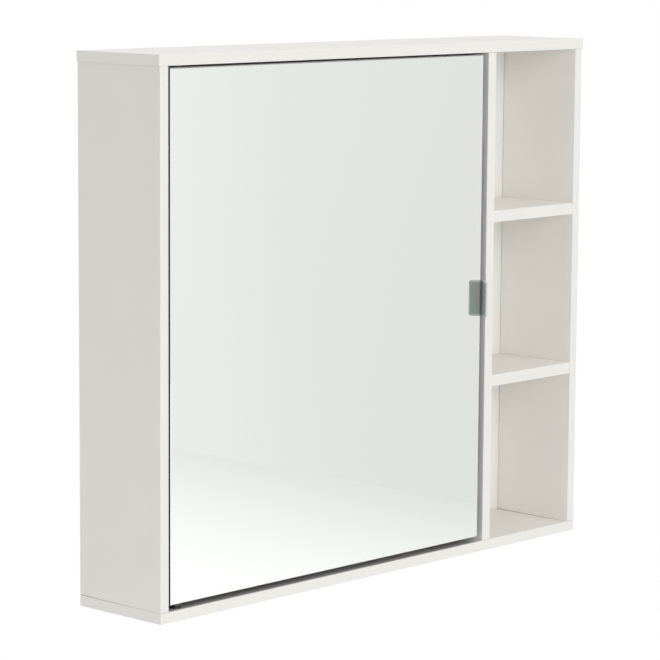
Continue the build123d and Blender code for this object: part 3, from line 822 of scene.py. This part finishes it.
# %% Helpers for Geometry Nodes
def new_tree(name, sizes):
    """A geometry tree with named inputs for sizes, and its group input and output."""
    tree = bpy.data.node_groups.new(name, "GeometryNodeTree")
    tree.interface.new_socket("Places", in_out="INPUT", socket_type="NodeSocketGeometry")
    for label, kind, value in sizes:
        socket = tree.interface.new_socket(label, in_out="INPUT", socket_type=kind)
        socket.default_value = value
    tree.interface.new_socket("Material", in_out="INPUT", socket_type="NodeSocketMaterial")
    tree.interface.new_socket("Shape", in_out="OUTPUT", socket_type="NodeSocketGeometry")
    return tree, add_node(tree, "NodeGroupInput"), add_node(tree, "NodeGroupOutput")


def set_on_places(tree, given, result, shape):
    """Turn a shape along each place's axis, copy it there, make it real and paint it."""
    stored = "GeometryNodeInputNamedAttribute"
    axis = add_node(tree, stored, {"Name": "axis"}, data_type="FLOAT_VECTOR")
    turn = add_node(tree, "FunctionNodeAlignRotationToVector", {"Vector": axis}, axis="Z")
    copying = {"Points": given.outputs["Places"], "Instance": shape, "Rotation": turn}
    copies = add_node(tree, "GeometryNodeInstanceOnPoints", copying)
    real = add_node(tree, "GeometryNodeRealizeInstances", {"Geometry": copies})
    painting = {"Geometry": real, "Material": given.outputs["Material"]}
    fill(result, {"Shape": add_node(tree, "GeometryNodeSetMaterial", painting)})


print("each tree ends in Realize Instances and Set Material")

# %% [markdown]
# From a tree to a plain mesh
#
# A tree runs on a small mesh that has one point for each place, with the direction stored
# beside it. The inputs of the modifier are set before the mesh is first evaluated. What
# comes out is copied to a plain mesh, and the modifier and its points are removed.

# %% Grow a mesh from a tree
def grow(name, lies, tree, values):
    """Run a tree on one point for each lie, and return the plain mesh as an object."""
    seeds = bpy.data.meshes.new(name + "_places")
    seeds.from_pydata([tuple(lie[0]) for lie in lies], [], [])
    axis = seeds.attributes.new("axis", "FLOAT_VECTOR", "POINT")
    axis.data.foreach_set("vector", [v for lie in lies for v in lie[1]])
    seed_object = bpy.data.objects.new(name + "_places", seeds)
    bpy.context.scene.collection.objects.link(seed_object)
    modifier = seed_object.modifiers.new("grow", "NODES")
    modifier.node_group = tree
    for socket in tree.interface.items_tree:
        if socket.in_out == "INPUT" and socket.name in values:
            modifier[socket.identifier] = values[socket.name]
    seed_object.update_tag()
    ready = seed_object.evaluated_get(bpy.context.evaluated_depsgraph_get())
    mesh = bpy.data.meshes.new_from_object(ready)
    mesh.name = name
    seed_object.modifiers.remove(modifier)
    bpy.data.objects.remove(seed_object)
    grown = bpy.data.objects.new(name, mesh)
    bpy.context.scene.collection.objects.link(grown)
    print(name, "faces:", len(mesh.polygons))
    return grown


print("places to grow dowels on:", sum(len(lies) for lies in dowel_lies.values()))

# %% [markdown]
# The flutes of a dowel
#
# A real dowel is rolled between toothed plates, and its flutes let the glue spread and the
# air escape. Seen from its end it is a circle whose radius dips evenly, once for each
# flute. So a circle of many points is drawn first, and each point is then pulled towards
# the middle by a cosine of its angle.

# %% A fluted profile
LENGTH = "NodeSocketFloat"
FLUTES = 16
STEPS_PER_FLUTE = 4
dowel, given, result = new_tree(
    "fluted_dowel",
    [
        ("Radius", LENGTH, 2.97 * MM),
        ("Length", LENGTH, dowel_length),
        ("Chamfer", LENGTH, 0.6 * MM),
        ("Flutes", "NodeSocketInt", FLUTES),
        ("Flute Depth", LENGTH, 0.28 * MM),
    ],
)
radius = given.outputs["Radius"]
flutes = given.outputs["Flutes"]
steps = add_node(dowel, MATH, {0: flutes, 1: STEPS_PER_FLUTE}, operation="MULTIPLY")
circle = add_node(
    dowel, "GeometryNodeCurvePrimitiveCircle", {"Resolution": steps, "Radius": radius}
)
where = add_node(dowel, "GeometryNodeInputPosition")
where_xyz = add_node(dowel, SPLIT, {0: where})
from_centre = {0: where_xyz.outputs["Y"], 1: where_xyz.outputs["X"]}
angle = add_node(dowel, MATH, from_centre, operation="ARCTAN2")
fluted_angle = add_node(dowel, MATH, {0: angle, 1: flutes}, operation="MULTIPLY")
wave = add_node(dowel, MATH, {0: fluted_angle}, operation="COSINE")
dip = add_node(dowel, MATH, {0: wave, 1: 0.5, 2: -0.5}, operation="MULTIPLY_ADD")
flute_depth = given.outputs["Flute Depth"]
depth_share = add_node(dowel, MATH, {0: flute_depth, 1: radius}, operation="DIVIDE")
pull = add_node(dowel, MATH, {0: dip, 1: depth_share, 2: 1.0}, operation="MULTIPLY_ADD")
pulled = add_node(dowel, "ShaderNodeVectorMath", {0: where, "Scale": pull}, operation="SCALE")
profile = add_node(dowel, "GeometryNodeSetPosition", {"Geometry": circle, "Position": pulled})
print("points round a dowel:", FLUTES * STEPS_PER_FLUTE)

# %% [markdown]
# The length and the chamfers of a dowel
#
# The profile is swept along a straight path. The chamfer at each end, which helps the
# dowel to find its hole, needs a path of four points: the two ends, and one a chamfer's
# length in from each. At the ends the profile is scaled down, and in between it keeps its
# full size.

# %% A path with room for the chamfers
PATH_POINTS = 4
half = add_node(dowel, MATH, {0: given.outputs["Length"], 1: 0.5}, operation="MULTIPLY")
minus_half = add_node(dowel, MATH, {0: half, 1: -1.0}, operation="MULTIPLY")
foot = add_node(dowel, "ShaderNodeCombineXYZ", {"Z": minus_half})
head = add_node(dowel, "ShaderNodeCombineXYZ", {"Z": half})
line = add_node(dowel, "GeometryNodeCurvePrimitiveLine", {"Start": foot, "End": head})
spacing = {"Curve": line, "Count": PATH_POINTS}
four_points = add_node(dowel, "GeometryNodeResampleCurve", spacing)
chamfer = given.outputs["Chamfer"]
along = where_xyz.outputs["Z"]
off_middle = add_node(dowel, MATH, {0: along}, operation="ABSOLUTE")
quarter = add_node(dowel, MATH, {0: half, 1: 0.5}, operation="MULTIPLY")
is_inner = add_node(dowel, MATH, {0: off_middle, 1: quarter}, operation="LESS_THAN")
set_in = add_node(dowel, MATH, {0: is_inner, 1: chamfer}, operation="MULTIPLY")
reach = add_node(dowel, MATH, {0: half, 1: set_in}, operation="SUBTRACT")
side = add_node(dowel, MATH, {0: along}, operation="SIGN")
new_z = add_node(dowel, MATH, {0: side, 1: reach}, operation="MULTIPLY")
moved = add_node(dowel, "ShaderNodeCombineXYZ", {"Z": new_z})
path = add_node(dowel, "GeometryNodeSetPosition", {"Geometry": four_points, "Position": moved})
print("points along a dowel:", PATH_POINTS)

# %% [markdown]
# Thirty dowels from one
#
# The profile is swept along the path and closed with a cap at each end. The tree then runs
# once for the dowels of the boards and once for those of the shelves, and what it makes
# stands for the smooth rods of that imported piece.

# %% Sweep the dowel and set it in every place
half_chamfer = add_node(dowel, MATH, {0: chamfer, 1: 0.5}, operation="MULTIPLY")
end_from = add_node(dowel, MATH, {0: half, 1: half_chamfer}, operation="SUBTRACT")
is_end = add_node(dowel, MATH, {0: off_middle, 1: end_from}, operation="GREATER_THAN")
chamfer_share = add_node(dowel, MATH, {0: chamfer, 1: radius}, operation="DIVIDE")
lost = add_node(dowel, MATH, {0: is_end, 1: chamfer_share}, operation="MULTIPLY")
kept = add_node(dowel, MATH, {0: 1.0, 1: lost}, operation="SUBTRACT")
sweep = {"Curve": path, "Profile Curve": profile, "Scale": kept, "Fill Caps": True}
rod = add_node(dowel, "GeometryNodeCurveToMesh", sweep)
set_on_places(dowel, given, result, rod)
for name, lies in dowel_lies.items():
    dowels = grow("fluted_" + name, lies, dowel, {"Material": beech, "Length": dowel_length})
    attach(dowels, "carcass")
    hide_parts(name)

# %% [markdown]
# Screw threads
#
# The small screws that hold the finger tab, the catches and the strike plates are
# self-cutting: a sharp thread winds round the shank and bites into the chipboard. A thread
# is a helix, and Geometry Nodes have a spiral for it. A small triangle swept along that
# spiral makes the ridge. The screw itself stays as it was packed.

# %% The thread tree
STEPS_PER_TURN = 24
RIDGE_CORNERS = 3
thread, given, result = new_tree(
    "wood_screw_thread",
    [
        ("Core Radius", LENGTH, 1.25 * MM),
        ("Tip Radius", LENGTH, 0.85 * MM),
        ("Start", LENGTH, -2.6 * MM),
        ("Height", LENGTH, 6.4 * MM),
        ("Turns", LENGTH, 5.0),
        ("Ridge", LENGTH, 0.42 * MM),
    ],
)
helix = {
    "Resolution": STEPS_PER_TURN,
    "Rotations": given.outputs["Turns"],
    "Start Radius": given.outputs["Core Radius"],
    "End Radius": given.outputs["Tip Radius"],
    "Height": given.outputs["Height"],
}
spiral = add_node(thread, "GeometryNodeCurveSpiral", helix)
shift = add_node(thread, "ShaderNodeCombineXYZ", {"Z": given.outputs["Start"]})
seated = add_node(thread, "GeometryNodeSetPosition", {"Geometry": spiral, "Offset": shift})
triangle = {"Resolution": RIDGE_CORNERS, "Radius": given.outputs["Ridge"]}
tooth = add_node(thread, "GeometryNodeCurvePrimitiveCircle", triangle)
winding = {"Curve": seated, "Profile Curve": tooth, "Fill Caps": True}
ridge = add_node(thread, "GeometryNodeCurveToMesh", winding)
set_on_places(thread, given, result, ridge)
threaded = {"handle_screws": "door", "strike_screws": "door", "catch_screws": "carcass"}
for name, body in threaded.items():
    lies = [rod_lie(points) for points in loose_parts(nodes[name])]
    threads = grow(name + "_thread", lies, thread, {"Material": zinc_steel})
    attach(threads, body)
    print(name, "point along", [tuple(round(v) for v in lie[1]) for lie in lies])

# %% [markdown]
# The light of the surroundings
#
# The boards are lit by soft light of four kinds: a broad glow from the front, a stronger
# one from the front left, near the camera, a gentle one from above and a weak one from
# behind. Each is a centre, a focus and a brightness: the cosine between the ray and the
# centre is raised to the focus, so a higher focus makes a narrower glow.

# %% Soft glows by direction
GLOWS = {
    "front": ((0.0, -1.0, 0.0), 5.0, 1.1),
    "front_left": ((-0.5, -0.86, 0.1), 12.0, 2.5),
    "above": ((0.0, 0.0, 1.0), 1.0, 0.56),
    "behind": ((0.0, 1.0, 0.0), 2.0, 0.6),
}
EVERYWHERE = 0.096
world = bpy.data.worlds.new("white_studio")
bpy.context.scene.world = world
world.use_nodes = True
sky = world.node_tree
sky.nodes.clear()
direction = add_node(sky, COORDINATES).outputs["Generated"]
soft_light = EVERYWHERE
for centre, focus, brightness in GLOWS.values():
    aimed = {0: direction, 1: centre}
    towards = add_node(sky, "ShaderNodeVectorMath", aimed, operation="DOT_PRODUCT")
    ahead = add_node(sky, MATH, {0: towards, 1: 0.0}, operation="MAXIMUM")
    narrowed = add_node(sky, MATH, {0: ahead, 1: focus}, operation="POWER")
    glow = add_node(sky, MATH, {0: narrowed, 1: brightness}, operation="MULTIPLY")
    soft_light = add_node(sky, MATH, {0: glow, 1: soft_light}, operation="ADD")
print("soft glows:", list(GLOWS))

# %% [markdown]
# What each kind of ray meets
#
# What the camera sees around the cabinet is pure white. The mirror looks out to the front
# and right, at white studio paper that is a little darker to the right, where it turns
# away from the lamps, and a trace darker downwards. That changes softly, so it is worked
# out from the direction of the ray too. All other rays meet the soft glows.

# %% White for the camera, paper for the mirror
PAPER_TURN = {"From Min": 0.68, "From Max": 0.78}
PAPER_WALL = ((0.1, "FAFAFA"), (0.4, "F2F2F2"), (0.85, "EEEEEE"))
PAPER_FALL = {"From Min": -0.05, "From Max": -0.17, "To Min": 0.0, "To Max": -0.022}
CAMERA_WHITE = 1.0
ray = add_node(sky, SPLIT, {0: direction})
to_right = add_node(sky, MAP, {"Value": ray.outputs["X"], **PAPER_TURN})
paper_wall = add_node(sky, RAMP, {0: to_right}, stops=PAPER_WALL)
downwards = add_node(sky, MAP, {"Value": ray.outputs["Z"], **PAPER_FALL})
studio = add_node(sky, MATH, {0: paper_wall, 1: downwards}, operation="ADD")
rays = add_node(sky, "ShaderNodeLightPath").outputs
shiny_rays = {0: rays["Is Glossy Ray"], 1: rays["Is Transmission Ray"]}
shiny = add_node(sky, MATH, shiny_rays, operation="MAXIMUM")
unseen = add_node(sky, MIX, {"Factor": shiny, "A": soft_light, "B": studio})
seen_mix = {"Factor": rays["Is Camera Ray"], "A": unseen, "B": CAMERA_WHITE}
light = {"Color": hex_colour("FFFFFF"), "Strength": add_node(sky, MIX, seen_mix)}
background = add_node(sky, "ShaderNodeBackground", light)
add_node(sky, "ShaderNodeOutputWorld", {"Surface": background})
print("world:", world.name, "with", len(sky.nodes), "nodes")

# %% [markdown]
# Lamps
#
# Two lamps finish the light. A large softbox above the cabinet brightens its top, and a
# faint one low at the left stands for the light that a floor throws back: it makes the
# left side a little brighter towards its lower end.

# %% Softboxes
def softbox(name, place, target, width, watts):
    """A square area lamp that looks at a point."""
    data = bpy.data.lights.new(name, "AREA")
    data.shape = "SQUARE"
    data.size = width
    data.energy = watts
    lamp = bpy.data.objects.new(name, data)
    bpy.context.scene.collection.objects.link(lamp)
    aim = (Vector(target) - Vector(place)).to_track_quat("-Z", "Y").to_matrix().to_4x4()
    lamp.matrix_world = Matrix.Translation(Vector(place)) @ aim
    return lamp


top_box = softbox(
    "top_softbox",
    place=(0.2, -0.8, 2.3),
    target=(cad_low + cad_high) / 2,
    width=2.0,
    watts=13.0,
)
low_card = softbox(
    "low_bounce_card",
    place=(-1.3, -0.4, -1.3),
    target=(-0.35, -0.06, -0.5),
    width=1.0,
    watts=1.5,
)
print("lamps:", top_box.name, low_card.name)
